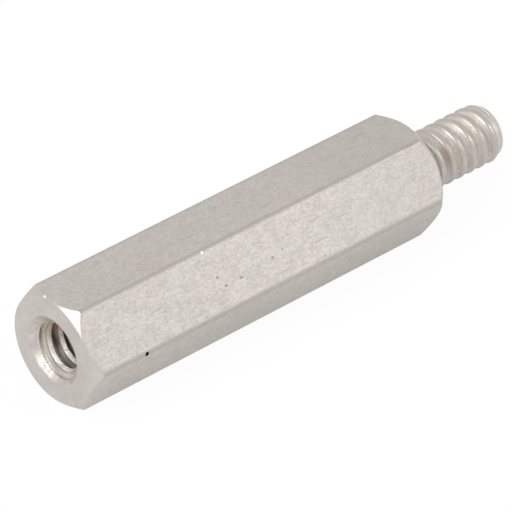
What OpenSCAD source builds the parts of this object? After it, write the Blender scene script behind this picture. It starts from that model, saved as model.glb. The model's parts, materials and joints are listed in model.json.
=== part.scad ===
// Male-female hex standoff, turned from hex bar as one piece.
// It lies on one flat: the bar's axis runs along X, from the tapped face to the stud's end,
// and the origin is under the middle of its length, on the flat that it rests on.

/* [Hex bar] */
// Size across the bar's flats
hex_across_flats = 6.35; // [5.5:0.05:12]
// Length of the hex body, from the tapped face to the shoulder
body_length = 25.4; // [16:0.1:60]
// How far the bar's rounded corners fall short of sharp ones
corner_wear = 0.048; // [0.01:0.002:0.12]
// Length of the turned end chamfers, measured along the corners
chamfer_length = 0.5; // [0.2:0.05:1]
// How far inside the flats the chamfers leave the round end faces
face_inset = 0.02; // [0.01:0.01:0.3]

/* [Tapped hole] */
// Diameter that the tap drill leaves
tap_drill_diameter = 2.9; // [2:0.005:3.2]
// Depth of the drilled wall, from the tapped face
drill_depth = 11.1; // [6:0.1:13]
// Point angle of the drill, which leaves the cone at the bottom
drill_point_angle = 118; // [90:1:140]
// Diameter of the countersink at the tapped face
countersink_diameter = 4; // [3.3:0.05:5]
// Included angle of the countersink
countersink_angle = 90; // [60:1:120]

/* [Stud] */
// Length of the stud beyond the shoulder
stud_length = 6.2; // [4:0.05:12]
// Diameter of the plain shank, which is the thread's nominal size
stud_diameter = 3.505; // [2.8:0.005:4]
// Length of the plain shank next to the shoulder
shank_length = 0.6; // [0.4:0.05:1.2]
// Length of the cone that leads from the shank down to the thread's root
run_out_length = 0.45; // [0.2:0.05:1]
// Length of the taper at the stud's end
tip_taper_length = 0.5; // [0.2:0.05:1]
// How much the taper takes off the stud's radius
tip_taper_height = 0.25; // [0.1:0.01:0.4]

/* [Thread] */
// Distance from one crest to the next: 32 turns to the inch
thread_pitch = 0.79375; // [0.5:0.00125:1]
// How far the crest stays inside the shank's surface
crest_clearance = 0.02; // [0.01:0.005:0.05]
// Angle between a flank and a plane square to the axis
flank_angle = 30; // [25:1:33]
// Turns the thread round the stud
thread_clocking = 289; // [0:1:359]

/* [Hidden] */
satin_aluminium = [0.76, 0.75, 0.73];
hex_sides = 6;
round_faces = 96;
steps_per_turn = 24;
overrun = 1;

total_length = body_length + stud_length;
tapped_face_x = -total_length / 2;
shoulder_x = tapped_face_x + body_length;
axis_height = hex_across_flats / 2;
across_corners = hex_across_flats / cos(180 / hex_sides);

worn_radius = across_corners / 2 - corner_wear;
face_radius = hex_across_flats / 2 - face_inset;

// A rolled thread: the crest is an eighth of the pitch wide, and the height is the usual share of it
crest_width = thread_pitch / 8;
thread_height = 0.6134 * thread_pitch;
stud_radius = stud_diameter / 2;
crest_radius = stud_radius - crest_clearance;
root_radius = stud_radius - thread_height;
// The ridge is sunk a little into the root, so that the two join as one solid
ridge_sink = 0.06;
sunk_radius = root_radius - ridge_sink;
half_foot = crest_width / 2 + (crest_radius - sunk_radius) * tan(flank_angle);
ridge_steps = ceil(steps_per_turn * (stud_length + half_foot) / thread_pitch);

// Stands children that are built along +Z on the bar's axis, from a place along X
module along_bar(start_x) {
    translate([start_x, 0, axis_height])
        rotate([0, 90, 0])
            children();
}

// The shape that the lathe leaves at most: a cone at each end and the bar's rounded corners
module turned_envelope() {
    along_bar(tapped_face_x)
        rotate_extrude($fn = round_faces)
            polygon([
                [0, 0],
                [face_radius, 0],
                [worn_radius, chamfer_length],
                [worn_radius, body_length - chamfer_length],
                [face_radius, body_length],
                [0, body_length]
            ]);
}

module hex_body() {
    intersection() {
        along_bar(tapped_face_x)
            rotate([0, 0, 180 / hex_sides])
                cylinder(h = body_length, d = across_corners, $fn = hex_sides);
        turned_envelope();
    }
}

// Blind hole: countersink, drilled wall and the drill's cone, as one turned tool
module tapped_hole() {
    drill_radius = tap_drill_diameter / 2;
    sink_radius = countersink_diameter / 2;
    sink_slope = tan(countersink_angle / 2);
    sink_depth = (sink_radius - drill_radius) / sink_slope;
    point_depth = drill_radius / tan(drill_point_angle / 2);
    along_bar(tapped_face_x)
        rotate_extrude($fn = round_faces)
            polygon([
                [0, -overrun],
                [sink_radius + overrun * sink_slope, -overrun],
                [drill_radius, sink_depth],
                [drill_radius, drill_depth],
                [0, drill_depth + point_depth]
            ]);
}

// A point of the thread: how many steps round, how far along from the crest's middle, how far out
function ridge_point(step, along, radius) =
    let (turns = step / steps_per_turn)
    [radius * cos(360 * turns), radius * sin(360 * turns), thread_pitch * turns + along];

// The thread's section at one step: two feet inside the root and two corners of the crest
function ridge_section(step) = [
    ridge_point(step, -half_foot, sunk_radius),
    ridge_point(step, -crest_width / 2, crest_radius),
    ridge_point(step, crest_width / 2, crest_radius),
    ridge_point(step, half_foot, sunk_radius)
];

// Right-hand helical ridge, which starts inside the shank and runs past the stud's end
module thread_ridge() {
    corners = len(ridge_section(0));
    last = ridge_steps * corners;
    sides = [
        for (step = [0:ridge_steps - 1])
            for (corner = [0:corners - 1])
                let (
                    here = step * corners + corner,
                    beside = step * corners + (corner + 1) % corners
                )
                each [
                    [here, beside, here + corners],
                    [beside, beside + corners, here + corners]
                ]
    ];
    start_cap = [for (corner = [corners - 1:-1:0]) corner];
    end_cap = [for (corner = [0:corners - 1]) last + corner];
    rotate([0, 0, thread_clocking])
        polyhedron(
            points = [for (step = [0:ridge_steps]) each ridge_section(step)],
            faces = concat(sides, [start_cap, end_cap]),
            convexity = 10
        );
}

// Keeps the threaded part inside the tapered end
module tip_envelope() {
    taper_slope = tip_taper_height / tip_taper_length;
    outer_radius = stud_radius + overrun * taper_slope;
    rotate_extrude($fn = round_faces)
        polygon([
            [0, -overrun],
            [outer_radius, -overrun],
            [outer_radius, stud_length - tip_taper_length - overrun],
            [stud_radius - tip_taper_height, stud_length],
            [0, stud_length]
        ]);
}

module shank() {
    rotate_extrude($fn = round_faces)
        polygon([
            [0, -overrun],
            [stud_radius, -overrun],
            [stud_radius, shank_length],
            [root_radius, shank_length + run_out_length],
            [0, shank_length + run_out_length]
        ]);
}

module stud() {
    along_bar(shoulder_x) {
        shank();
        intersection() {
            union() {
                cylinder(h = stud_length, r = root_radius, $fn = round_faces);
                thread_ridge();
            }
            tip_envelope();
        }
    }
}

module standoff() {
    color(satin_aluminium)
        difference() {
            union() {
                hex_body();
                stud();
            }
            tapped_hole();
        }
}

standoff();
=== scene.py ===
import json
import math

import bmesh
import bpy
from mathutils import Matrix, Vector


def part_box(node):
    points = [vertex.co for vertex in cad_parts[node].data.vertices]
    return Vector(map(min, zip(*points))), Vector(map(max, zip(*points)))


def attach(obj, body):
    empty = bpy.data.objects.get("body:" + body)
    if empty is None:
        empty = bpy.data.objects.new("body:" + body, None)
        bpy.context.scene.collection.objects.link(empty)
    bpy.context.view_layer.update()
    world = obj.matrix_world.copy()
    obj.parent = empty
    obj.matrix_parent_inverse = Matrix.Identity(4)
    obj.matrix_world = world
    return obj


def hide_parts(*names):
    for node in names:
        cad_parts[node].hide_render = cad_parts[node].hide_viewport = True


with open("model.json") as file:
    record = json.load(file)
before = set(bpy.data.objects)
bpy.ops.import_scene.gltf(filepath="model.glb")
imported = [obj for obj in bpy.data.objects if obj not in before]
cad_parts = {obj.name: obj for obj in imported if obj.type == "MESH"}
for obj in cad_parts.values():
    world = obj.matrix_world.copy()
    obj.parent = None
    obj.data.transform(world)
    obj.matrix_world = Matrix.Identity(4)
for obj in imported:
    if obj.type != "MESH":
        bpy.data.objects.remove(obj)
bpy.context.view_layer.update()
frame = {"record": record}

mm = 0.001
halfTurn = math.pi
fullTurn = 2 * math.pi
hexTurn = fullTurn / 6  # from the middle of one flat to the middle of the next
flankTurn = math.radians(60)  # how far a thread flank's normal leans from the outward direction
weldGap = 0.0005 * mm
cutGap = weldGap / 10  # a corner this near to a cutting plane counts as lying on it
overrun = 0.6 * mm  # how far a shape runs past what it cuts or joins
endLean = 0.3  # faces that lean this far along the bar take the finish of its ends

# Sizes that come with the frame
lowest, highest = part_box("standoff")
mounts = {mount["name"]: mount for mount in frame["record"]["mounts"]}
tappedFaceX = lowest.x
studEndX = highest.x
shoulderX = mounts["shoulder"]["pos_m"][0]
acrossFlats = highest.z - lowest.z
axisHeight = lowest.z + acrossFlats / 2
cornerRadius = acrossFlats / 2 / math.cos(hexTurn / 2)
wornRadius = highest.y
drillRadius = mounts["tapped_hole"]["dims"]["r_mm"] * mm
drillLength = mounts["tapped_hole"]["dims"]["length_mm"] * mm
shankRadius = mounts["shank"]["dims"]["r_mm"] * mm
shankLength = mounts["shank"]["dims"]["length_mm"] * mm


# Shapes round the bar's axis

def turnOutline(outline, steps):  # one full turn of a half outline of (along, radius) points
    bm = bmesh.new()
    corners = [bm.verts.new((along, 0, radius)) for along, radius in outline]
    edges = [bm.edges.new(pair) for pair in zip(corners, corners[1:])]
    bmesh.ops.spin(
        bm, geom=corners + edges, axis=(1, 0, 0), cent=(0, 0, 0),
        angle=fullTurn, steps=steps, use_merge=True,
    )
    bmesh.ops.remove_doubles(bm, verts=bm.verts, dist=weldGap)
    return bm


def screwOutline(outline, pitch, startX, endX, crestX, stepsPerTurn):
    # one pitch of a thread's outline, swept along the helix and cut square at both ends;
    # a crest crosses the top line at crestX, and the outline reaches half a pitch to each side of it
    bm = bmesh.new()
    firstX = crestX - math.ceil((crestX - startX) / pitch + 0.5) * pitch
    turns = math.ceil((endX - firstX) / pitch + 0.5)
    corners = [bm.verts.new((firstX + along, 0, radius)) for along, radius in outline]
    edges = [bm.edges.new(pair) for pair in zip(corners, corners[1:])]
    bmesh.ops.spin(
        bm, geom=corners + edges, axis=(1, 0, 0), cent=(0, 0, 0),
        dvec=(pitch / stepsPerTurn, 0, 0), angle=fullTurn, steps=stepsPerTurn,
    )
    firstTurn = bm.verts[:] + bm.edges[:] + bm.faces[:]
    for turn in range(1, turns):
        nextTurn = bmesh.ops.duplicate(bm, geom=firstTurn)["geom"]
        verts = [item for item in nextTurn if isinstance(item, bmesh.types.BMVert)]
        bmesh.ops.translate(bm, verts=verts, vec=(turn * pitch, 0, 0))
    bmesh.ops.remove_doubles(bm, verts=bm.verts, dist=weldGap)
    for cutX, outward in ((startX, -1), (endX, 1)):
        cut = bmesh.ops.bisect_plane(
            bm, geom=bm.verts[:] + bm.edges[:] + bm.faces[:], dist=cutGap,
            plane_co=(cutX, 0, 0), plane_no=(outward, 0, 0), clear_outer=True,
        )
        rim = [item for item in cut["geom_cut"] if isinstance(item, bmesh.types.BMEdge)]
        bmesh.ops.contextual_create(bm, geom=rim)
    return bm


def arcPoints(centre, radius, fromAngle, toAngle, steps):
    # angles run from the outward direction towards +X
    angles = [fromAngle + (toAngle - fromAngle) * step / steps for step in range(steps + 1)]
    return [(centre[0] + radius * math.sin(a), centre[1] + radius * math.cos(a)) for a in angles]


def threadOutline(thread):
    # from the middle of one root to the middle of the next: two rounded roots, two flanks, one crest
    pitch, steps = thread["pitch"], thread["roundSteps"]
    crestRound, rootRound = thread["crestRound"], thread["rootRound"]
    crestHalf, crestRadius = thread["crestFlat"] / 2, thread["crestRadius"]
    cornerHalf = crestHalf + crestRound * math.tan(flankTurn / 2)
    sharpRoot = crestRadius - (pitch / 2 - cornerHalf) * math.tan(flankTurn)
    rootArc = arcPoints((0, sharpRoot + 2 * rootRound), -rootRound, 0, flankTurn, steps)
    crestArc = arcPoints((crestHalf, crestRadius - crestRound), crestRound, 0, flankTurn, steps)
    half = crestArc + [(pitch / 2 + along, radius) for along, radius in reversed(rootArc)]
    return [(-along, radius) for along, radius in reversed(half)] + half


def newPiece(name, bm, surfaces):
    bmesh.ops.translate(bm, verts=bm.verts, vec=(0, 0, axisHeight))
    bmesh.ops.recalc_face_normals(bm, faces=bm.faces)
    for face in bm.faces:  # where two finishes are given, the second is for what faces along the bar
        face.material_index = int(len(surfaces) > 1 and abs(face.normal.x) > endLean)
    mesh = bpy.data.meshes.new(name)
    bm.to_mesh(mesh)
    bm.free()
    for surface in surfaces:
        mesh.materials.append(surface)
    piece = bpy.data.objects.new(name, mesh)
    bpy.context.scene.collection.objects.link(piece)
    return piece


def combine(piece, tool, operation):  # joins or cuts with another shape, which is used up
    modifier = piece.modifiers.new("combine", "BOOLEAN")
    modifier.object = tool
    modifier.operation = operation
    modifier.solver = "MANIFOLD"
    modifier.material_mode = "TRANSFER"
    seen = piece.evaluated_get(bpy.context.evaluated_depsgraph_get())
    mesh = bpy.data.meshes.new_from_object(seen)
    piece.modifiers.clear()
    piece.data = mesh
    bpy.data.objects.remove(tool)


def tidyMesh(piece):  # closes up the slivers that joining and cutting leave
    bm = bmesh.new()
    bm.from_mesh(piece.data)
    bmesh.ops.remove_doubles(bm, verts=bm.verts, dist=2 * weldGap)
    bmesh.ops.dissolve_degenerate(bm, edges=bm.edges, dist=2 * weldGap)
    bm.to_mesh(piece.data)
    bm.free()


# Hex bar: rounded corners, turned chamfers, softened edges

hexBar = {
    "cornerRound": 0.29 * mm,
    "cornerSteps": 6,
    "columnsPerFlat": 26,
    "chamferLength": 0.5 * mm,
    "faceInset": 0.02 * mm,
    "edgeSoftness": 0.015 * mm,
    "endRings": 34,
    "endDepth": 0.62 * mm,  # how far in from each end the rings stand close together
    "endCrowding": 1.6,  # above 1, they stand closest at the very end
    "middleRings": 40,
    "searchFrom": 0.8,  # share of a point's radius at which the search for its place starts
    "searchSteps": 30,
    "searchSlack": 1.000001,  # so that rounding errors don't count
}


def bodyRadius(fullRadius, depth):
    # the widest radius at which a point still lies inside flat, chamfer and end face,
    # all with soft edges, found by halving
    faceRadius = acrossFlats / 2 - hexBar["faceInset"]
    slope = (wornRadius - faceRadius) / hexBar["chamferLength"]
    soft = hexBar["edgeSoftness"]
    inner, outer = fullRadius * hexBar["searchFrom"], fullRadius
    for halving in range(hexBar["searchSteps"]):
        middle = (inner + outer) / 2
        gaps = (
            (fullRadius - middle) * acrossFlats / 2 / fullRadius,
            (faceRadius + slope * depth - middle) / math.hypot(1, slope),
            depth,
        )
        reach = math.hypot(*(max(soft - gap, 0) for gap in gaps))
        if min(gaps) >= 0 and reach <= soft * hexBar["searchSlack"]:
            inner = middle
        else:
            outer = middle
    return inner


def makeHexBar(flats, ends):
    bm = bmesh.new()
    bmesh.ops.create_circle(bm, cap_ends=True, segments=6, radius=cornerRadius)
    bmesh.ops.rotate(bm, verts=bm.verts, cent=(0, 0, 0), matrix=Matrix.Rotation(halfTurn / 2, 3, "Y"))
    bmesh.ops.translate(bm, verts=bm.verts, vec=(tappedFaceX, 0, 0))
    cornerCut = hexBar["cornerRound"] * math.tan(hexTurn / 2)
    bmesh.ops.bevel(
        bm, geom=bm.verts[:], affect="VERTICES", offset=cornerCut, offset_type="OFFSET",
        segments=hexBar["cornerSteps"], profile=0.5, material=-1, clamp_overlap=False,
    )
    flatEdges = [edge for edge in bm.edges if edge.calc_length() > acrossFlats / 4]
    cuts = hexBar["columnsPerFlat"] - 1
    bmesh.ops.subdivide_edges(bm, edges=flatEdges, cuts=cuts, use_grid_fill=False)
    # rings close together at both ends, where the soft edges are, and evenly spaced between
    rings, spaces, endDepth = hexBar["endRings"], hexBar["middleRings"], hexBar["endDepth"]
    depths = [endDepth * (ring / rings) ** hexBar["endCrowding"] for ring in range(1, rings + 1)]
    middle = shoulderX - tappedFaceX - 2 * endDepth
    ringPlaces = [tappedFaceX + depth for depth in depths]
    ringPlaces += [tappedFaceX + endDepth + middle * ring / spaces for ring in range(1, spaces)]
    ringPlaces += [shoulderX - depth for depth in reversed(depths)]
    rim = bm.edges[:]
    for ringX in ringPlaces + [shoulderX]:
        grown = bmesh.ops.extrude_edge_only(bm, edges=rim)["geom"]
        rim = [item for item in grown if isinstance(item, bmesh.types.BMEdge)]
        for vert in grown:
            if isinstance(vert, bmesh.types.BMVert):
                vert.co.x = ringX
    bmesh.ops.contextual_create(bm, geom=rim)
    for vert in bm.verts:
        depth = min(vert.co.x - tappedFaceX, shoulderX - vert.co.x)
        if depth < endDepth + weldGap:
            fullRadius = math.hypot(vert.co.y, vert.co.z)
            scale = bodyRadius(fullRadius, max(depth, 0)) / fullRadius
            vert.co.y *= scale
            vert.co.z *= scale
    return newPiece("hexStandoff", bm, [flats, ends])


# Tapped hole: countersink, drilled wall, drill point and thread

tappedHole = {
    "sinkRadius": 2.0 * mm,
    "sinkAngle": math.radians(90),
    "rimRound": 0.16 * mm,
    "rimStart": math.radians(82),  # the rounding starts this far round, just inside the end face
    "rimSteps": 5,
    "pointAngle": math.radians(118),
    "steps": 144,
    "crestRelief": 0.09 * mm,  # how far the worn crests reach inside the drilled wall
    "threadDepth": 9.5 * mm,
    "leadTurns": 2.5,
    "leadClearance": 0.05 * mm,  # how far the tap's tip stays inside the wall
}

tap = {
    "pitch": 0.79375 * mm,
    "crestRadius": 1.79 * mm,
    "crestFlat": 0.05 * mm,
    "crestRound": 0.03 * mm,
    "roundSteps": 4,
    "bevelRadius": 1.455 * mm,  # where a shallow bevel starts on each crest that it leaves
    "endRadius": 1.34 * mm,
    "crestDepth": 0.738 * mm,  # where its crest crosses the top line, from the tapped face
}


def tapOutline():  # a flank, the rounded crest, the other flank and a shallow bevel
    flankSlope = math.tan(flankTurn)
    crestRound, crestHalf = tap["crestRound"], tap["crestFlat"] / 2
    arc = arcPoints(
        (crestHalf, tap["crestRadius"] - crestRound), crestRound, 0, flankTurn, tap["roundSteps"],
    )
    flankX, flankRadius = arc[-1]
    endX = flankX + (flankRadius - tap["endRadius"]) / flankSlope
    bevelX = flankX + (flankRadius - tap["bevelRadius"]) / flankSlope
    return [
        (-endX, tap["endRadius"]),
        *[(-along, radius) for along, radius in reversed(arc)],
        *arc,
        (bevelX, tap["bevelRadius"]),
        (tap["pitch"] - endX, tap["endRadius"]),
    ]


def makeDrill(surfaces):
    slope = math.tan(tappedHole["sinkAngle"] / 2)
    radius = drillRadius - tappedHole["crestRelief"]
    sinkDepth = (tappedHole["sinkRadius"] - radius) / slope
    wallX = tappedFaceX + sinkDepth
    wallEndX = tappedFaceX + (tappedHole["sinkRadius"] - drillRadius) / slope + drillLength
    pointDepth = radius / math.tan(tappedHole["pointAngle"] / 2)
    rimRound = tappedHole["rimRound"]
    rimCentre = (
        tappedFaceX + rimRound,
        tappedHole["sinkRadius"] + rimRound * math.tan(tappedHole["sinkAngle"] / 4),
    )
    rim = arcPoints(
        rimCentre, -rimRound,
        tappedHole["rimStart"], tappedHole["sinkAngle"] / 2, tappedHole["rimSteps"],
    )
    outline = [
        (tappedFaceX - overrun, 0),
        (tappedFaceX - overrun, rimCentre[1] + overrun),
        *rim,
        (wallX, radius),
        (wallEndX, radius),
        (wallEndX + pointDepth, 0),
    ]
    return newPiece("drill", turnOutline(outline, tappedHole["steps"]), surfaces)


def makeTap(surface):
    endX = tappedFaceX + tappedHole["threadDepth"]
    bm = screwOutline(
        tapOutline(), tap["pitch"], tappedFaceX - overrun, endX,
        tappedFaceX + tap["crestDepth"], tappedHole["steps"],
    )
    leadStartX = endX - tappedHole["leadTurns"] * tap["pitch"]
    taperRadius = drillRadius - tappedHole["crestRelief"] - tappedHole["leadClearance"]
    for vert in bm.verts:  # the tap's tapered lead, which leaves ever shallower turns
        if vert.co.x > leadStartX:
            share = (vert.co.x - leadStartX) / (endX - leadStartX)
            radius = math.hypot(vert.co.y, vert.co.z)
            if radius > taperRadius:
                scale = (taperRadius + (radius - taperRadius) * (1 - share)) / radius
                vert.co.y *= scale
                vert.co.z *= scale
    return newPiece("tap", bm, [surface])


# Threaded stud: plain shank, rolled thread, tapered end

threadedStud = {
    "pitch": 0.79375 * mm,
    "crestRadius": 1.7325 * mm,
    "crestFlat": 0.04 * mm,
    "crestRound": 0.23 * mm,
    "rootRound": 0.06 * mm,
    "roundSteps": 6,
    "crestX": 0.5531 * mm,  # where a crest crosses the top line, from the shoulder
    "steps": 120,
    "runOut": 1.25 * mm,
    "taperLength": 0.5 * mm,
    "taperHeight": 0.25 * mm,
    "noseLength": 1.05 * mm,  # the last groove fades out over this length
    "noseRadius": 1.6 * mm,
    "noseInset": 0.003 * mm,  # keeps the nose just inside the stud's cut end
    "noseFall": 0.99,  # share of the nose's radius that is left half way along the taper
    "noseFoot": 0.98,  # share of the root's radius at which the nose starts, inside the root
    "shankFoot": 0.99,  # share of the root's radius at which the shank's cone ends, inside the root
    "shankSunk": 0.7,  # shares of the overrun, which the rod takes whole, so that no two faces coincide
    "envelopeSunk": 0.5,
    "envelopeSpare": 0.2,  # share of the shank's radius by which the envelope clears it
}


def makeStud(surface):
    outline = threadOutline(threadedStud)
    rod = newPiece("rod", screwOutline(
        outline, threadedStud["pitch"], shoulderX - overrun, studEndX + overrun,
        shoulderX + threadedStud["crestX"], threadedStud["steps"],
    ), [surface])
    taperLength, taperHeight = threadedStud["taperLength"], threadedStud["taperHeight"]
    spare = shankRadius * threadedStud["envelopeSpare"]
    envelopeX = shoulderX - overrun * threadedStud["envelopeSunk"]
    envelope = [
        (envelopeX, 0),
        (envelopeX, shankRadius + spare),
        (studEndX - taperLength - spare * taperLength / taperHeight, shankRadius + spare),
        (studEndX, shankRadius - taperHeight),
        (studEndX, 0),
    ]
    rootRadius = min(radius for along, radius in outline)
    shankX = shoulderX - overrun * threadedStud["shankSunk"]
    runOutX = shoulderX + shankLength + threadedStud["runOut"]
    shank = [
        (shankX, 0),
        (shankX, shankRadius),
        (shoulderX + shankLength, shankRadius),
        (runOutX, rootRadius * threadedStud["shankFoot"]),
        (runOutX, 0),
    ]
    noseX, noseRadius = studEndX - threadedStud["noseLength"], threadedStud["noseRadius"]
    inset = threadedStud["noseInset"]
    nose = [
        (noseX, 0),
        (noseX, rootRadius * threadedStud["noseFoot"]),
        (studEndX - taperLength, noseRadius),
        (studEndX - taperLength / 2, noseRadius * threadedStud["noseFall"]),
        (studEndX - inset, shankRadius - taperHeight - inset),
        (studEndX - inset, 0),
    ]
    for name, turned, operation in (
        ("envelope", envelope, "INTERSECT"), ("shank", shank, "UNION"), ("nose", nose, "UNION"),
    ):
        combine(rod, newPiece(name, turnOutline(turned, threadedStud["steps"]), [surface]), operation)
    return rod


# Small marks from handling: pits, flecks and nicks, cut into the surface

# place along the bar from the tapped face and angle round it (90 is the top),
# then length, width and depth, all in mm and degrees, and what the mark shows inside
marks = {
    "inclusion": ((3.47, 180.5), (0.25, 0.29, 0.14), "darkDirt"),
    "pitNear": ((9.28, 147.6), (0.14, 0.14, 0.025), "pitMetal"),
    "pitFar": ((9.63, 158.5), (0.16, 0.14, 0.025), "pitMetal"),
    "streak": ((10.71, 158.3), (0.26, 0.12, 0.020), "pitMetal"),
    "pitSmall": ((13.82, 152.2), (0.12, 0.11, 0.020), "pitMetal"),
    "pitLong": ((13.03, 154.7), (0.20, 0.10, 0.020), "pitMetal"),
    "pitUpper": ((9.92, 136.5), (0.12, 0.09, 0.008), "scratchMetal"),
    "fleckCorner": ((8.91, 121.5), (0.17, 0.20, 0.08), "barePoint"),
    "fleckRim": ((0.05, 80.1), (0.17, 0.21, 0.07), "barePoint"),
    "longScratch": ((17.3, 139.9), (3.6, 0.05, 0.008), "scratchMetal"),
}


def surfaceRadius(angle):  # from the axis to the bar's surface, at an angle round it
    fromFlat = angle % hexTurn - hexTurn / 2
    return min(acrossFlats / 2 / math.cos(fromFlat), wornRadius)


def makeMark(name, insides):
    (along, degrees), (length, width, depth), inside = marks[name]
    angle = math.radians(degrees)
    flatAngle = hexTurn / 2 + hexTurn * math.floor(angle / hexTurn)
    bm = bmesh.new()
    bmesh.ops.create_icosphere(bm, subdivisions=3, radius=1)
    bmesh.ops.scale(bm, verts=bm.verts, vec=(length / 2 * mm, width / 2 * mm, depth * mm))
    turn = Matrix.Rotation(flatAngle - halfTurn / 2, 3, "X")
    bmesh.ops.rotate(bm, verts=bm.verts, cent=(0, 0, 0), matrix=turn)
    radius = surfaceRadius(angle)
    bmesh.ops.translate(bm, verts=bm.verts, vec=(
        tappedFaceX + along * mm, radius * math.cos(angle), radius * math.sin(angle),
    ))
    return newPiece(name, bm, [insides[inside]])


# Finishes: small helpers, then the effects that several finishes share

def feed(tree, value, socket):
    if isinstance(value, bpy.types.NodeSocket):
        tree.links.new(value, socket)
    else:
        socket.default_value = value


def addNode(tree, kind, sockets=(), **settings):
    node = tree.nodes.new("ShaderNode" + kind)
    for name, value in settings.items():
        setattr(node, name, value)
    for name, value in dict(sockets).items():
        feed(tree, value, node.inputs[name])
    return node


def calculate(tree, operation, *values, kind="Math"):
    node = addNode(tree, kind, operation=operation)
    for value, socket in zip(values, node.inputs):
        feed(tree, value, socket)
    return node.outputs[0]


def fade(tree, value, low, high, lowValue=0, highValue=1):  # a smooth step from one value to the other
    return addNode(tree, "MapRange", {
        "Value": value, "From Min": low, "From Max": high, "To Min": lowValue, "To Max": highValue,
    }, interpolation_type="SMOOTHSTEP").outputs[0]


def blend(tree, factor, first, second):
    # from the first colour to the second; of the node's sockets, 6, 7 and the output 2 are for colours
    node = addNode(tree, "Mix", data_type="RGBA")
    for value, socket in ((factor, node.inputs[0]), (first, node.inputs[6]), (second, node.inputs[7])):
        feed(tree, value, socket)
    return node.outputs[2]


def newEffect(name, inputs, outputs):  # an input with no default value is a place
    tree = bpy.data.node_groups.new(name, "ShaderNodeTree")
    for label, default in inputs.items():
        kind = "NodeSocketVector" if default is None else "NodeSocketFloat"
        socket = tree.interface.new_socket(name=label, in_out="INPUT", socket_type=kind)
        if default is not None:
            socket.default_value = default
    for label in outputs:
        tree.interface.new_socket(name=label, in_out="OUTPUT", socket_type="NodeSocketFloat")
    return tree, tree.nodes.new("NodeGroupInput").outputs, tree.nodes.new("NodeGroupOutput").inputs


def useEffect(tree, effect, **values):
    node = tree.nodes.new("ShaderNodeGroup")
    node.node_tree = effect
    for name, value in values.items():
        feed(tree, value, node.inputs[name])
    return node.outputs


def stretchPlace(tree, place, length, width):  # a length along the bar and a width across it become 1
    along, across = calculate(tree, "DIVIDE", 1, length), calculate(tree, "DIVIDE", 1, width)
    scale = addNode(tree, "CombineXYZ", {"X": along, "Y": across, "Z": across})
    return calculate(tree, "MULTIPLY", place, scale.outputs[0], kind="VectorMath")


def fromAxis(tree, place):  # how far along the bar, and how far out from its axis
    parts = addNode(tree, "SeparateXYZ", {"Vector": place}).outputs
    across = addNode(tree, "CombineXYZ", {"Y": parts["Y"], "Z": parts["Z"]}).outputs[0]
    return parts["X"], addNode(tree, "VectorMath", {0: across}, operation="LENGTH").outputs["Value"]


effectEdges = {  # where the soft edge of an effect starts and where it ends
    "cloud": (0.3, 0.7),
    "mark": (0.5, 1),  # shares of the mark's own reach
    "patch": (0.2, 1),  # shares of the patch's own reach
}
smallestMark = 0.5  # share of the size that the smallest of the scattered marks has


def grainEffect():  # even tumbled grain with larger clouds behind it
    tree, given, result = newEffect(
        "tumbledGrain",
        {"place": None, "length": 0.12, "width": 0.12, "spread": 0.20, "cloud": 1.5, "clouding": 0.35},
        ("tone", "height"),
    )
    fine = addNode(tree, "TexNoise", {
        "Vector": stretchPlace(tree, given["place"], given["length"], given["width"]),
        "Scale": 1, "Detail": 4, "Roughness": 0.65,
    }).outputs[0]
    clouds = addNode(tree, "TexNoise", {
        "Vector": stretchPlace(tree, given["place"], given["cloud"], given["cloud"]),
        "Scale": 1, "Detail": 3, "Roughness": 0.55,
    }).outputs[0]
    fineShare = calculate(tree, "SUBTRACT", 1, given["clouding"])
    low = calculate(tree, "SUBTRACT", 0.5, given["spread"])
    high = calculate(tree, "ADD", 0.5, given["spread"])
    fineTone = calculate(tree, "MULTIPLY", fade(tree, fine, low, high), fineShare)
    cloudTone = fade(tree, clouds, *effectEdges["cloud"])
    feed(tree, calculate(tree, "MULTIPLY_ADD", cloudTone, given["clouding"], fineTone), result["tone"])
    feed(tree, fine, result["height"])
    return tree


def scatterEffect():  # lone round or drawn-out marks, one at most in each cell
    tree, given, result = newEffect(
        "scatteredMarks",
        {"place": None, "length": 0.3, "width": 0.3, "share": 0.1, "size": 0.3},
        ("mark",),
    )
    cells = addNode(tree, "TexVoronoi", {
        "Vector": stretchPlace(tree, given["place"], given["length"], given["width"]), "Scale": 1,
    })
    chance = addNode(tree, "SeparateColor", {"Color": cells.outputs["Color"]}).outputs
    kept = calculate(tree, "LESS_THAN", chance[0], given["share"])
    reach = calculate(tree, "MULTIPLY", given["size"], fade(tree, chance[1], 0, 1, smallestMark, 1))
    near = calculate(tree, "DIVIDE", cells.outputs["Distance"], reach)
    mark = fade(tree, near, *effectEdges["mark"], 1, 0)
    feed(tree, calculate(tree, "MULTIPLY", kept, mark), result["mark"])
    return tree


def turningEffect():  # fine rings left by a turning tool, about the bar's axis
    tree, given, result = newEffect("turningRings", {"place": None, "spacing": 0.05}, ("height",))
    along, radius = fromAxis(tree, given["place"])
    feedPath = calculate(tree, "ADD", radius, along)
    rings = addNode(tree, "TexNoise", {
        "W": calculate(tree, "DIVIDE", feedPath, given["spacing"]), "Scale": 1, "Detail": 2,
    }, noise_dimensions="1D")
    feed(tree, rings.outputs[0], result["height"])
    return tree


def radiusEffect():  # 0 below one radius from the bar's axis, 1 above another
    tree, given, result = newEffect(
        "outwardMask", {"place": None, "inner": 1.0, "outer": 2.0}, ("mask",),
    )
    radius = fromAxis(tree, given["place"])[1]
    feed(tree, fade(tree, radius, given["inner"], given["outer"]), result["mask"])
    return tree


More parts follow.
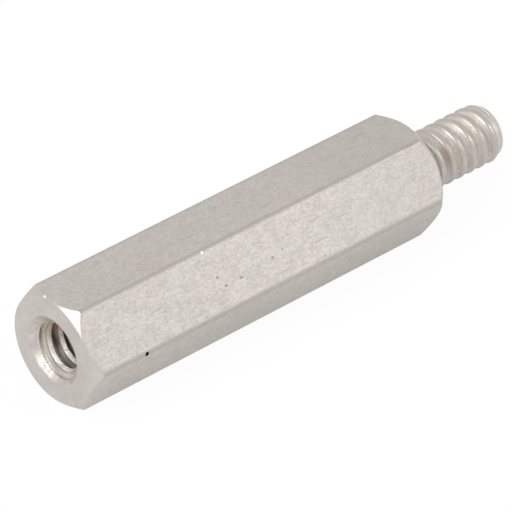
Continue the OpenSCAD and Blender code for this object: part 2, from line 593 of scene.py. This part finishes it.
def patchEffect():  # 1 at a place on the piece, fading to 0 at some distance from it
    tree, given, result = newEffect(
        "softPatch", {"place": None, "centre": None, "reach": 1.0}, ("mask",),
    )
    ends = {0: given["place"], 1: given["centre"]}
    away = addNode(tree, "VectorMath", ends, operation="DISTANCE").outputs["Value"]
    share = calculate(tree, "DIVIDE", away, given["reach"])
    feed(tree, fade(tree, share, *effectEdges["patch"], 1, 0), result["mask"])
    return tree


tumbledGrain = grainEffect()
scatteredMarks = scatterEffect()
turningRings = turningEffect()
outwardMask = radiusEffect()
softPatch = patchEffect()


def startFinish(name):
    # the tree, a shader for bare metal, and the place on the piece in mm from the bar's axis
    surface = bpy.data.materials.new(name)
    surface.use_nodes = True
    tree = surface.node_tree
    shader = tree.nodes["Principled BSDF"]
    shader.inputs["Metallic"].default_value = 1
    place = addNode(tree, "Mapping", {
        "Vector": addNode(tree, "TexCoord").outputs["Object"],
        "Location": (0, 0, -axisHeight / mm), "Scale": (1 / mm, 1 / mm, 1 / mm),
    }).outputs[0]
    return surface, tree, shader, place


def betweenRadii(tree, place, radii):  # 0 inside the first radius from the axis, 1 outside the second
    return useEffect(tree, outwardMask, place=place, inner=radii[0], outer=radii[1])["mask"]


def blendShare(tree, mask, share, first, second):
    return blend(tree, calculate(tree, "MULTIPLY", mask, share), first, second)


def smoother(tree, tone, rough):
    # lighter metal is smoother; rough holds the lowest and the highest roughness
    return fade(tree, tone, 0, 1, rough[1], rough[0])


def stackHeights(tree, height, layers):  # adds each layer's share to a height
    for layer, share in layers:
        height = calculate(tree, "MULTIPLY_ADD", layer, share, height)
    return height


def finishWith(tree, shader, colour, roughness, height, depth):
    # depth is how far a height of 1 stands out, in mm
    feed(tree, colour, shader.inputs["Base Color"])
    feed(tree, roughness, shader.inputs["Roughness"])
    bump = addNode(tree, "Bump", {"Height": height, "Distance": depth * mm}).outputs[0]
    feed(tree, bump, shader.inputs["Normal"])
    return bump


# Flats: tumbled, a little cloudy, with pits, short dark streaks and handling scratches, and painted
# shade on the rounded corners and towards the stud

flatsLook = {
    "pink": (0.695, 0.612, 0.590, 1),
    "green": (0.622, 0.630, 0.573, 1),
    "dark": (0.500, 0.468, 0.438, 1),
    "pit": (0.240, 0.220, 0.205, 1),
    "speck": (0.420, 0.360, 0.330, 1),
    "speckShare": 0.45,
    "pitShare": 0.6,
    "streakShare": 0.32,
    "scratchShare": 0.28,
    "worn": (0.455, 0.425, 0.395, 1),
    "wornShare": 0.65,
    "dulled": (-1.0, 6.5),  # mm along the bar, over which painted shade darkens the flats towards the stud
    "dulledShare": 0.36,
    "cornerRadii": (3.54, 3.61),
    "grain": {"length": 0.20, "width": 0.15, "spread": 0.17, "cloud": 0.6, "clouding": 0.32},
    "drawn": {"length": 0.9, "width": 0.045, "cloud": 3.0, "clouding": 0.2},
    "drawnShare": 0.3,
    "tint": {"length": 0.9, "width": 0.6, "cloud": 2.5, "clouding": 0.4},
    "specks": {"length": 0.34, "width": 0.28, "share": 0.5, "size": 0.24},
    "pits": {"length": 0.42, "width": 0.40, "share": 0.5, "size": 0.11},
    "streaks": {"length": 4.0, "width": 0.30, "share": 0.75, "size": 0.18},
    "scratches": {"length": 2.4, "width": 0.28, "share": 0.7, "size": 0.15},
    "scratchTurn": (0, math.radians(9), math.radians(14)),
    "rough": (0.42, 0.56),
    "bumpDepth": 0.009,
    "bumpShares": (0.35, -0.8, -0.5),  # drawn lines, pits, scratches
}


def tumbledFlats():
    look = flatsLook
    surface, tree, shader, place = startFinish("tumbledFlats")
    grain = useEffect(tree, tumbledGrain, place=place, **look["grain"])
    drawn = useEffect(tree, tumbledGrain, place=place, **look["drawn"])
    tint = useEffect(tree, tumbledGrain, place=place, **look["tint"])["tone"]
    specks = useEffect(tree, scatteredMarks, place=place, **look["specks"])["mark"]
    pits = useEffect(tree, scatteredMarks, place=place, **look["pits"])["mark"]
    streaks = useEffect(tree, scatteredMarks, place=place, **look["streaks"])["mark"]
    turned = addNode(tree, "Mapping", {"Vector": place, "Rotation": look["scratchTurn"]}).outputs[0]
    scratches = useEffect(tree, scatteredMarks, place=turned, **look["scratches"])["mark"]
    corner = betweenRadii(tree, place, look["cornerRadii"])
    grainTone = calculate(tree, "MULTIPLY", grain["tone"], 1 - look["drawnShare"])
    tone = calculate(tree, "MULTIPLY_ADD", drawn["tone"], look["drawnShare"], grainTone)
    colour = blend(tree, tone, look["dark"], blend(tree, tint, look["pink"], look["green"]))
    # painted shade, growing towards the stud
    dulled = fade(tree, fromAxis(tree, place)[0], *look["dulled"])
    colour = blendShare(tree, dulled, look["dulledShare"], colour, look["dark"])
    colour = blendShare(tree, specks, look["speckShare"], colour, look["speck"])
    # painted shade: the rounded corners are painted darker than the flats
    colour = blendShare(tree, corner, look["wornShare"], colour, look["worn"])
    colour = blendShare(tree, streaks, look["streakShare"], colour, look["pit"])
    colour = blendShare(tree, scratches, look["scratchShare"], colour, look["pit"])
    colour = blendShare(tree, pits, look["pitShare"], colour, look["pit"])
    layers = zip((drawn["height"], pits, scratches), look["bumpShares"])
    height = stackHeights(tree, grain["height"], layers)
    finishWith(tree, shader, colour, smoother(tree, tone, look["rough"]), height, look["bumpDepth"])
    return surface


# Ends and chamfers: turned, then tumbled with the rest

endsLook = {
    "light": (0.625, 0.585, 0.550, 1),
    "dark": (0.525, 0.490, 0.460, 1),
    "pit": (0.300, 0.270, 0.245, 1),
    "pitShare": 0.5,
    "grain": {"length": 0.15, "width": 0.15, "cloud": 1.3, "clouding": 0.5},
    "rings": {"spacing": 0.06},
    "pits": {"length": 0.6, "width": 0.6, "share": 0.25, "size": 0.08},
    "rough": (0.36, 0.48),
    "bumpDepth": 0.006,
    "bumpShares": (0.4, -0.8),  # rings, pits
}


def turnedEnds():
    look = endsLook
    surface, tree, shader, place = startFinish("turnedEnds")
    grain = useEffect(tree, tumbledGrain, place=place, **look["grain"])
    rings = useEffect(tree, turningRings, place=place, **look["rings"])["height"]
    pits = useEffect(tree, scatteredMarks, place=place, **look["pits"])["mark"]
    colour = blend(tree, grain["tone"], look["dark"], look["light"])
    colour = blendShare(tree, pits, look["pitShare"], colour, look["pit"])
    height = stackHeights(tree, grain["height"], zip((rings, pits), look["bumpShares"]))
    roughness = smoother(tree, grain["tone"], look["rough"])
    finishWith(tree, shader, colour, roughness, height, look["bumpDepth"])
    return surface


# Mouth of the hole: countersunk, with chatter from the tool, so that it shines unevenly

mouthLook = {
    "light": (0.650, 0.605, 0.565, 1),
    "dark": (0.500, 0.460, 0.430, 1),
    "grain": {"length": 0.25, "width": 0.25, "cloud": 0.7, "clouding": 0.5},
    "rings": {"spacing": 0.10},
    "rough": (0.36, 0.58),
    "bumpDepth": 0.045,
    "bumpShares": (0.35,),  # rings
}


def countersunkMouth():
    look = mouthLook
    surface, tree, shader, place = startFinish("countersunkMouth")
    grain = useEffect(tree, tumbledGrain, place=place, **look["grain"])
    rings = useEffect(tree, turningRings, place=place, **look["rings"])["height"]
    colour = blend(tree, grain["tone"], look["dark"], look["light"])
    height = stackHeights(tree, grain["height"], zip((rings,), look["bumpShares"]))
    roughness = smoother(tree, grain["tone"], look["rough"])
    finishWith(tree, shader, colour, roughness, height, look["bumpDepth"])
    return surface


# Tapped wall: bright worn crests, duller flanks, roots painted dark brown further in, a painted shade
# line along each crest's edge, and painted patches of colour, light and reflection

threadLook = {
    "crestLight": (1.000, 0.950, 0.920, 1),
    "crestDark": (0.520, 0.445, 0.405, 1),
    "flankLight": (0.590, 0.550, 0.505, 1),
    "flankDark": (0.460, 0.425, 0.380, 1),
    "stain": (0.190, 0.145, 0.100, 1),
    "rubbed": (0.950, 0.930, 0.880, 1),
    "crestRadii": (1.436, 1.456),
    "lineRadii": (1.490, 1.550),
    "rootRadii": (1.650, 1.780),
    "lineShare": 0.60,
    "depths": (0.40, 1.20),  # the roots are painted lightly near the mouth and more darkly further in
    "rootShares": (0.30, 0.85),
    "metallic": 0.5,
    "grain": {"length": 0.10, "width": 0.18, "cloud": 0.6, "clouding": 0.3},
    "rings": {"spacing": 0.05},
    "crestRough": (0.36, 0.52),
    "flankRough": (0.28, 0.40),
    "bumpDepth": 0.018,
    "bumpShares": (0.5,),  # rings
    "crestBump": 2.5,  # how many times stronger the crests are marked
    "crestLean": 0.25,  # slope of their worn edge towards the mouth
}


threadPatches = {  # depth in the hole, angle round it and radius, then reach, then share of the colour
    "brownOil": ((1.30, 8, 1.70), 1.10, 0.80),
    "blackOil": ((1.27, -28, 1.75), 0.65, 0.80),
    # a painted reflection: dark grey on the flanks deep in the lower wall
    "greyFilm": ((1.35, -88, 1.60), 1.00, 0.78),
    "greenFilm": ((0.47, -66, 1.58), 0.75, 0.80),
    "crestFilm": ((1.15, 12, 1.42), 1.30, 0.60),
    # painted light: lighter roots low down near the mouth
    "rubbed": ((0.40, -48, 1.78), 1.60, 0.90),
}

wallPatchColours = {
    "brownOil": (0.390, 0.285, 0.170, 1),
    "blackOil": (0.100, 0.080, 0.058, 1),
    "greyFilm": (0.220, 0.238, 0.232, 1),
    "greenFilm": (0.345, 0.352, 0.318, 1),
}


def patchMask(tree, place, patch, faceX):  # strongest at the patch's centre
    (depth, degrees, radius), reach, share = patch
    angle = math.radians(degrees)
    centre = (faceX / mm + depth, radius * math.cos(angle), radius * math.sin(angle))
    mask = useEffect(tree, softPatch, place=place, centre=centre, reach=reach)["mask"]
    return calculate(tree, "MULTIPLY", mask, share)


def cutThread():
    look = threadLook
    surface, tree, shader, place = startFinish("cutThread")
    grain = useEffect(tree, tumbledGrain, place=place, **look["grain"])
    rings = useEffect(tree, turningRings, place=place, **look["rings"])["height"]
    pastCrest = betweenRadii(tree, place, look["crestRadii"])
    pastLine = betweenRadii(tree, place, look["lineRadii"])
    root = betweenRadii(tree, place, look["rootRadii"])
    crest = blend(tree, grain["tone"], look["crestDark"], look["crestLight"])
    flank = blend(tree, grain["tone"], look["flankDark"], look["flankLight"])
    # patches painted on the flanks at given places: brown and near black in the roots, green-grey low
    # on the first flank, and the painted reflection
    for name, oil in wallPatchColours.items():
        flank = blend(tree, patchMask(tree, place, threadPatches[name], tappedFaceX), flank, oil)
    # a brown patch painted on the crests at one place
    film = patchMask(tree, place, threadPatches["crestFilm"], tappedFaceX)
    crest = blend(tree, film, crest, wallPatchColours["brownOil"])
    colour = blend(tree, pastCrest, crest, flank)
    # a painted shade line, dark brown, along the edge between each crest and its flank
    between = calculate(tree, "SUBTRACT", pastCrest, pastLine)
    line = calculate(tree, "MULTIPLY", between, look["lineShare"])
    along = fromAxis(tree, place)[0]
    depth = calculate(tree, "SUBTRACT", along, tappedFaceX / mm)
    # the roots painted dark brown, more strongly further into the hole
    rootShare = fade(tree, depth, *look["depths"], *look["rootShares"])
    colour = blend(tree, calculate(tree, "MULTIPLY_ADD", root, rootShare, line), colour, look["stain"])
    # painted light on the roots low down near the mouth
    rubbed = patchMask(tree, place, threadPatches["rubbed"], tappedFaceX)
    colour = blend(tree, calculate(tree, "MULTIPLY", rubbed, root), colour, look["rubbed"])
    crestRoughness = smoother(tree, grain["tone"], look["crestRough"])
    flankRoughness = smoother(tree, grain["tone"], look["flankRough"])
    roughness = fade(tree, pastCrest, 0, 1, crestRoughness, flankRoughness)
    height = stackHeights(tree, grain["height"], zip((rings,), look["bumpShares"]))
    height = calculate(tree, "MULTIPLY", height, fade(tree, pastCrest, 0, 1, look["crestBump"], 1))
    shader.inputs["Metallic"].default_value = look["metallic"]
    bump = finishWith(tree, shader, colour, roughness, height, look["bumpDepth"])
    leaning = addNode(tree, "Bump", {
        "Height": along, "Distance": look["crestLean"] * mm, "Normal": bump,
        "Strength": calculate(tree, "SUBTRACT", 1, pastCrest),
    })
    feed(tree, leaning.outputs[0], shader.inputs["Normal"])
    return surface


# Stud: rolled, so that the crests are smooth and bright, and the roots between them duller, with
# painted shade in the first groove beside the shoulder

rolledLook = {
    "pink": (0.572, 0.515, 0.482, 1),
    "green": (0.533, 0.516, 0.470, 1),
    "root": (0.775, 0.730, 0.688, 1),
    "dull": (0.430, 0.392, 0.360, 1),
    "dullShare": 0.35,
    "dullTones": (0.20, 1.00),  # dullest where the grain is darkest
    "crestRadii": (1.48, 1.68),
    "grain": {"length": 0.14, "width": 0.16, "cloud": 0.8, "clouding": 0.5},
    "tint": {"length": 0.5, "width": 0.5, "cloud": 1.4, "clouding": 0.4},
    "pits": {"length": 0.4, "width": 0.4, "share": 0.3, "size": 0.1},
    "rough": (0.33, 0.52),
    "rootRoughness": 0.66,
    "bumpDepth": 0.014,
    "bumpShares": (-0.6,),  # pits
    "oil": (0.360, 0.290, 0.215, 1),
    "oilPatch": ((1.92, 150, 1.50), 0.9, 0.30),  # from the shoulder, in the first groove: painted shade where it faces the shoulder
}


def rolledThread():
    look = rolledLook
    surface, tree, shader, place = startFinish("rolledThread")
    grain = useEffect(tree, tumbledGrain, place=place, **look["grain"])
    tint = useEffect(tree, tumbledGrain, place=place, **look["tint"])["tone"]
    pits = useEffect(tree, scatteredMarks, place=place, **look["pits"])["mark"]
    crest = betweenRadii(tree, place, look["crestRadii"])
    colour = blend(tree, crest, look["root"], blend(tree, tint, look["pink"], look["green"]))
    dull = fade(tree, grain["tone"], *look["dullTones"], 1, 0)
    colour = blendShare(tree, dull, look["dullShare"], colour, look["dull"])
    # painted shade: the first groove made darker brown beside the shoulder
    colour = blend(tree, patchMask(tree, place, look["oilPatch"], shoulderX), colour, look["oil"])
    crestRoughness = smoother(tree, grain["tone"], look["rough"])
    roughness = fade(tree, crest, 0, 1, look["rootRoughness"], crestRoughness)
    height = stackHeights(tree, grain["height"], zip((pits,), look["bumpShares"]))
    finishWith(tree, shader, colour, roughness, height, look["bumpDepth"])
    return surface


# Inside the small marks: dark dirt, metal, or a near-white painted glint

insideLook = {  # two colours, and the lowest and highest roughness
    "darkDirt": ((0.010, 0.009, 0.008, 1), (0.035, 0.030, 0.026, 1), (0.72, 0.90)),
    # painted glint: the two small nicks are cut, and near white inside
    "barePoint": ((0.880, 0.870, 0.860, 1), (0.960, 0.955, 0.950, 1), (0.40, 0.50)),
    "scratchMetal": ((0.500, 0.465, 0.430, 1), (0.560, 0.525, 0.490, 1), (0.40, 0.50)),
    "pitMetal": ((0.300, 0.270, 0.245, 1), (0.420, 0.385, 0.355, 1), (0.48, 0.60)),
}
insideGrain = {"length": 0.03, "width": 0.03, "cloud": 0.1, "clouding": 0.5}
insideDepth = 0.002


def insideMark(name):
    surface, tree, shader, place = startFinish(name)
    firstColour, secondColour, rough = insideLook[name]
    grain = useEffect(tree, tumbledGrain, place=place, **insideGrain)
    colour = blend(tree, grain["tone"], firstColour, secondColour)
    roughness = smoother(tree, grain["tone"], rough)
    finishWith(tree, shader, colour, roughness, grain["height"], insideDepth)
    return surface


# The piece itself

shading = {
    "sharpAngle": math.radians(28),
    "faceWeight": 100,  # the larger faces give the smooth shading its direction
}

standoff = makeHexBar(tumbledFlats(), turnedEnds())
print("hex bar", len(standoff.data.polygons))
insides = {name: insideMark(name) for name in insideLook}
for name in marks:
    combine(standoff, makeMark(name, insides), "DIFFERENCE")
print("marks cut", len(standoff.data.polygons))
combine(standoff, makeStud(rolledThread()), "UNION")
print("stud joined", len(standoff.data.polygons))
threadFinish = cutThread()
combine(standoff, makeDrill([threadFinish, countersunkMouth()]), "DIFFERENCE")
combine(standoff, makeTap(threadFinish), "DIFFERENCE")
tidyMesh(standoff)
print("hole cut", len(standoff.data.polygons))
standoff.data.shade_smooth()
standoff.data.set_sharp_from_angle(angle=shading["sharpAngle"])
weighted = standoff.modifiers.new("evenShading", "WEIGHTED_NORMAL")
weighted.keep_sharp = True
weighted.weight = shading["faceWeight"]
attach(standoff, "root")
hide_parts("standoff")


# Camera

view = {
    "lens": 356.1,
    "sensor": 36,
    "clipStart": 10 * mm,
    "lookAt": Vector((-1.1725, 0.2865, 2.3456)) * mm,
    "distance": 275.9 * mm,
    "azimuth": math.radians(-41.177),
    "elevation": math.radians(33.875),
    "roll": math.radians(-1.089),
}


def direction(azimuth, elevation):
    # from the piece outwards: azimuth 0 is in front of it, and a quarter turn on is beyond its stud
    return Vector((
        math.sin(azimuth) * math.cos(elevation),
        -math.cos(azimuth) * math.cos(elevation),
        math.sin(elevation),
    ))


def makeCamera():
    camera = bpy.data.objects.new("camera", bpy.data.cameras.new("camera"))
    bpy.context.scene.collection.objects.link(camera)
    camera.data.lens = view["lens"]
    camera.data.sensor_width = view["sensor"]
    camera.data.clip_start = view["clipStart"]
    back = direction(view["azimuth"], view["elevation"])
    turn = back.to_track_quat("Z", "Y").to_matrix() @ Matrix.Rotation(view["roll"], 3, "Z")
    camera.matrix_world = Matrix.Translation(view["lookAt"] + back * view["distance"]) @ turn.to_4x4()
    bpy.context.scene.camera = camera


makeCamera()


# Floor and light

floorLook = {
    "halfWidth": 2,  # metres
    "gap": 0.002 * mm,  # below the lowest flat
    "paint": (0.85, 0.85, 0.85, 1),
    "toCamera": 0.94,  # share of glow, so that the ground reads as white
    "toMetal": 0.5,  # share of glow that the metal reflects
}


def makeFloor():
    bm = bmesh.new()
    bmesh.ops.create_grid(bm, x_segments=1, y_segments=1, size=floorLook["halfWidth"])
    mesh = bpy.data.meshes.new("floor")
    bm.to_mesh(mesh)
    bm.free()
    floor = bpy.data.objects.new("floor", mesh)
    floor.location.z = lowest.z - floorLook["gap"]
    bpy.context.scene.collection.objects.link(floor)
    surface = bpy.data.materials.new("paleFloor")
    surface.use_nodes = True
    tree = surface.node_tree
    tree.nodes.remove(tree.nodes["Principled BSDF"])
    paint = addNode(tree, "BsdfDiffuse", {"Color": floorLook["paint"]}).outputs[0]
    glow = addNode(tree, "Emission").outputs[0]
    ray = addNode(tree, "LightPath").outputs
    toCamera = calculate(tree, "MULTIPLY", ray["Is Camera Ray"], floorLook["toCamera"])
    toMetal = calculate(tree, "MULTIPLY", ray["Is Glossy Ray"], floorLook["toMetal"])
    mixed = addNode(tree, "MixShader", {
        0: calculate(tree, "MAXIMUM", toCamera, toMetal), 1: paint, 2: glow,
    }).outputs[0]
    tree.links.new(mixed, tree.nodes["Material Output"].inputs["Surface"])
    mesh.materials.append(surface)


makeFloor()

panels = {  # degrees, metres and watts
    "leftPanel": {"azimuth": -84, "elevation": 41, "distance": 0.5, "size": 0.3, "power": 1.2},
    "rightPanel": {"azimuth": 43, "elevation": 29, "distance": 0.5, "size": 0.14, "power": 0.27},
}
studio = {"colour": (1, 1, 1, 1), "strength": 0.9}


def makePanel(name):
    panel = panels[name]
    light = bpy.data.lights.new(name, "AREA")
    light.energy = panel["power"]
    light.size = panel["size"]
    lamp = bpy.data.objects.new(name, light)
    towards = direction(math.radians(panel["azimuth"]), math.radians(panel["elevation"]))
    lamp.location = towards * panel["distance"]
    lamp.rotation_euler = towards.to_track_quat("Z", "Y").to_euler()
    bpy.context.scene.collection.objects.link(lamp)


def makeStudio():
    world = bpy.data.worlds.new("studio")
    world.use_nodes = True
    background = world.node_tree.nodes["Background"].inputs
    background["Color"].default_value = studio["colour"]
    background["Strength"].default_value = studio["strength"]
    bpy.context.scene.world = world


for name in panels:
    makePanel(name)
makeStudio()
bpy.context.scene.view_settings.view_transform = "Standard"
print("floor and light", len(panels))
